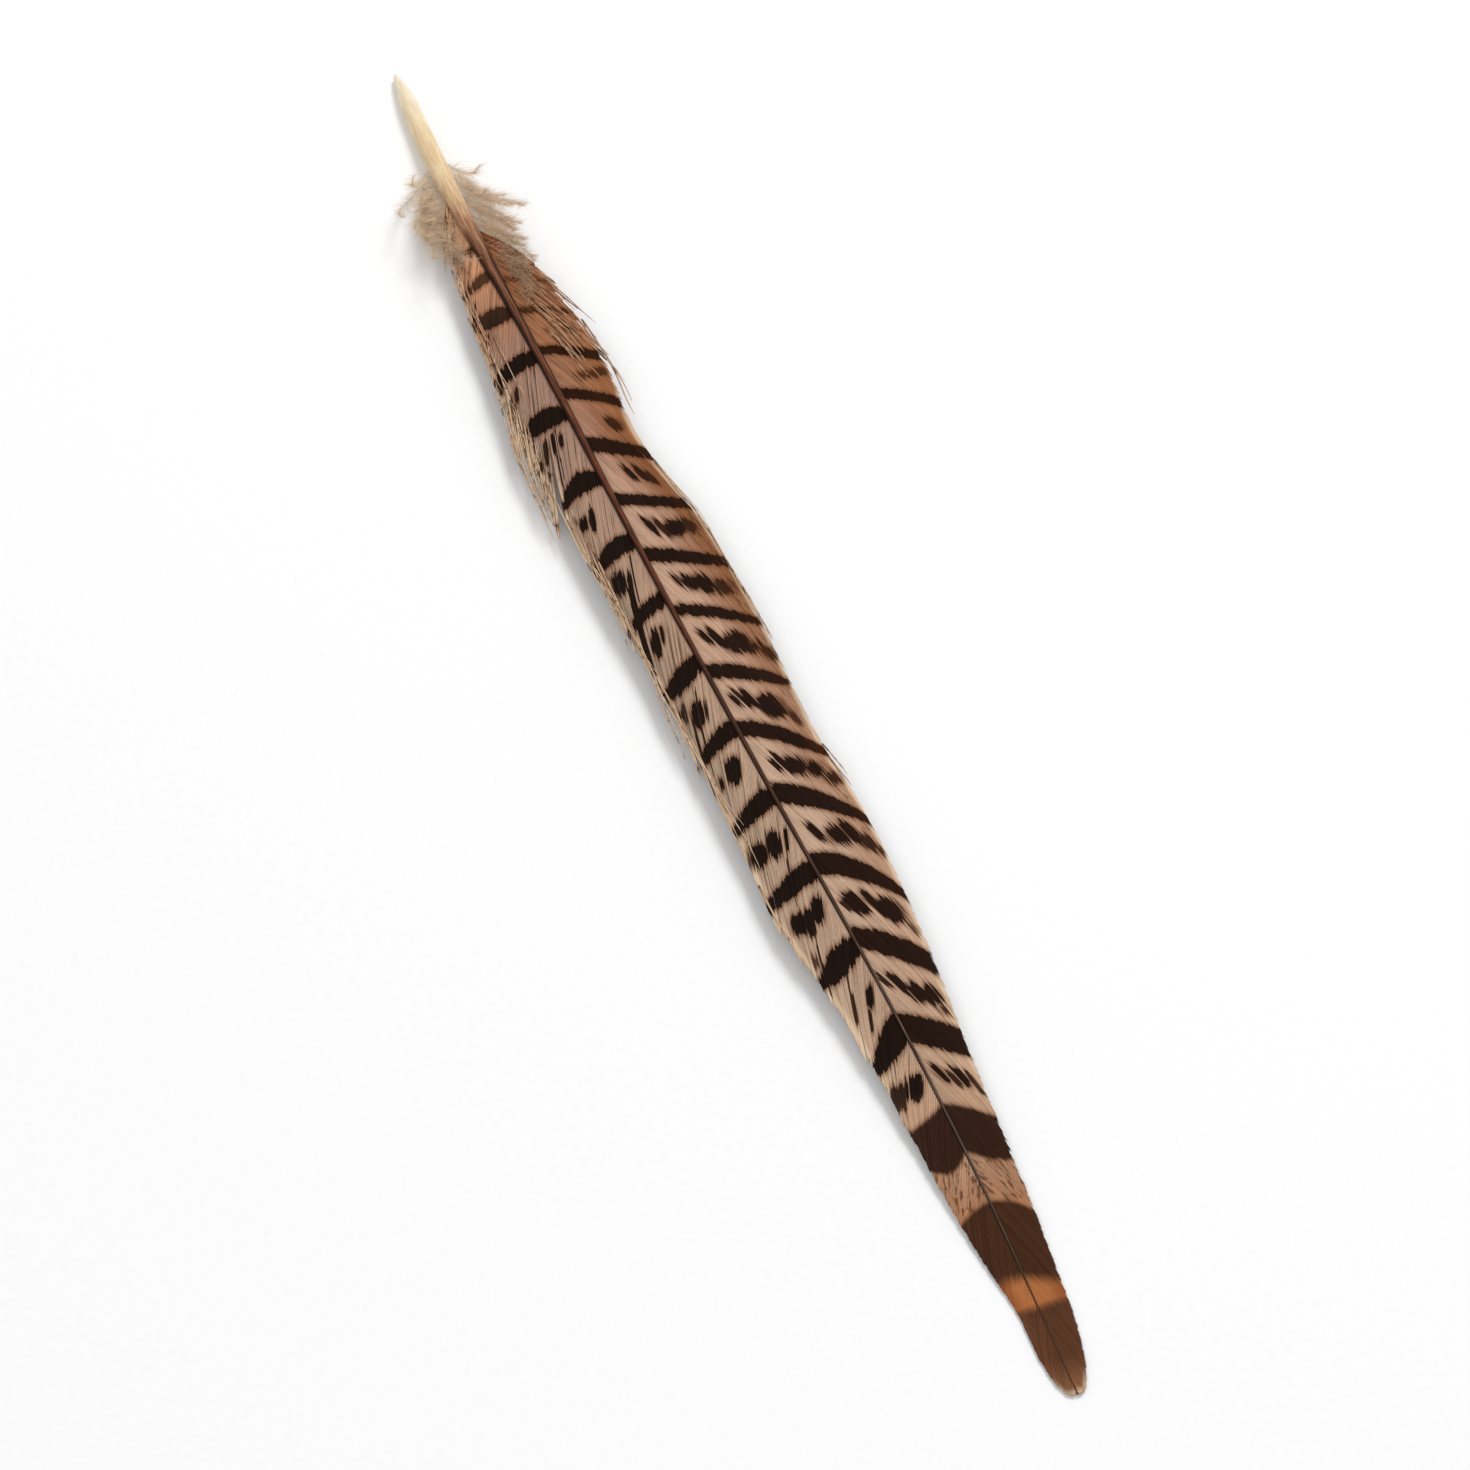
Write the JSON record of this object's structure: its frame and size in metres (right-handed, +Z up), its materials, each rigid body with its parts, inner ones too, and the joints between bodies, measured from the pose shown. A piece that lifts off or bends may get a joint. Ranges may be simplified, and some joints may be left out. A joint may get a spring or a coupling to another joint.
{
  "type": "pheasant tail feather",
  "caption": "Long barred tail feather with a bare pointed quill, a wide and a narrow vane, and loose down at their foot, lying on its hollow side.",
  "frame": {"origin": "centre of the feather's footprint, on the surface it lies on", "axes": "+X along the shaft from the quill to the tip, +Y across towards the wide vane, +Z up, out of the feather's upper side"},
  "size_m": [0.2574, 0.022, 0.0079],
  "materials": {
    "vane": "matt, cream barred with dark brown",
    "shaft": "satin, ivory at the quill and brown beyond it",
    "down": "matt, soft grey-beige"
  },
  "bodies": {
    "root": {"feather": "vane"}
  },
  "joints": []
}
